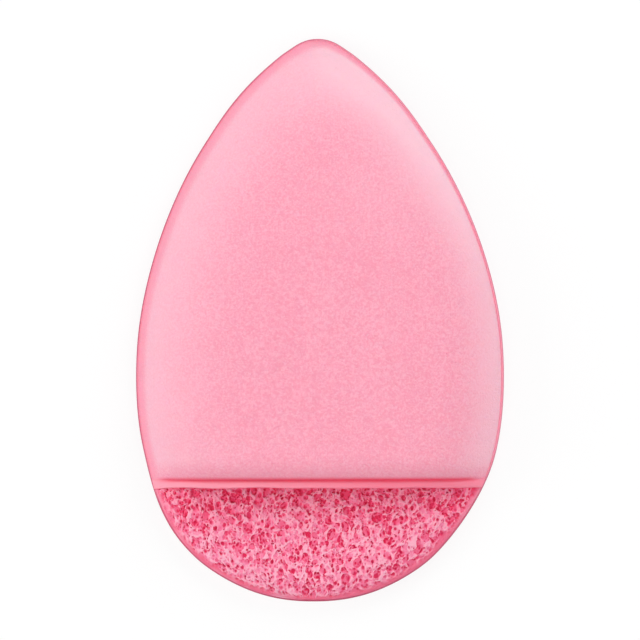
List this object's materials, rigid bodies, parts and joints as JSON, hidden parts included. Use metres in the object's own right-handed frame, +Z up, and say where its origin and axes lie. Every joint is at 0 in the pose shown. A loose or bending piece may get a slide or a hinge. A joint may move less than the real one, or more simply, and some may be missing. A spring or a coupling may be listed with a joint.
{
  "type": "facial cleansing glove",
  "caption": "Drop-shaped facial cleansing sponge with a fused rim and a padded cover that forms a finger pocket, open at a pressed hem above the bare round end.",
  "frame": {"origin": "on the flat underside of the sponge, below the middle of the outline", "axes": "+Z up out of the cover, +Y to the tip of the drop, +X to the right with the cover up and the tip away"},
  "size_m": [0.0816, 0.1246, 0.0188],
  "materials": {
    "open_sponge": "matte open-cell polyurethane sponge, pale pink struts and deep rose pores",
    "fused_foam": "satin, foam fused solid by heat, deeper pink",
    "lining_film": "matte fine-grained lining",
    "soft_foam": "matte soft foam",
    "smooth_skin": "matte, soft, very fine-grained light pink",
    "pressed_hem": "satin, pressed strip, deeper pink"
  },
  "bodies": {
    "root": {"sponge_body": "open_sponge", "edge_weld": "fused_foam", "pocket_lining": "lining_film", "cover_foam": "soft_foam", "cover_skin": "smooth_skin", "mouth_hem": "pressed_hem"}
  },
  "joints": []
}
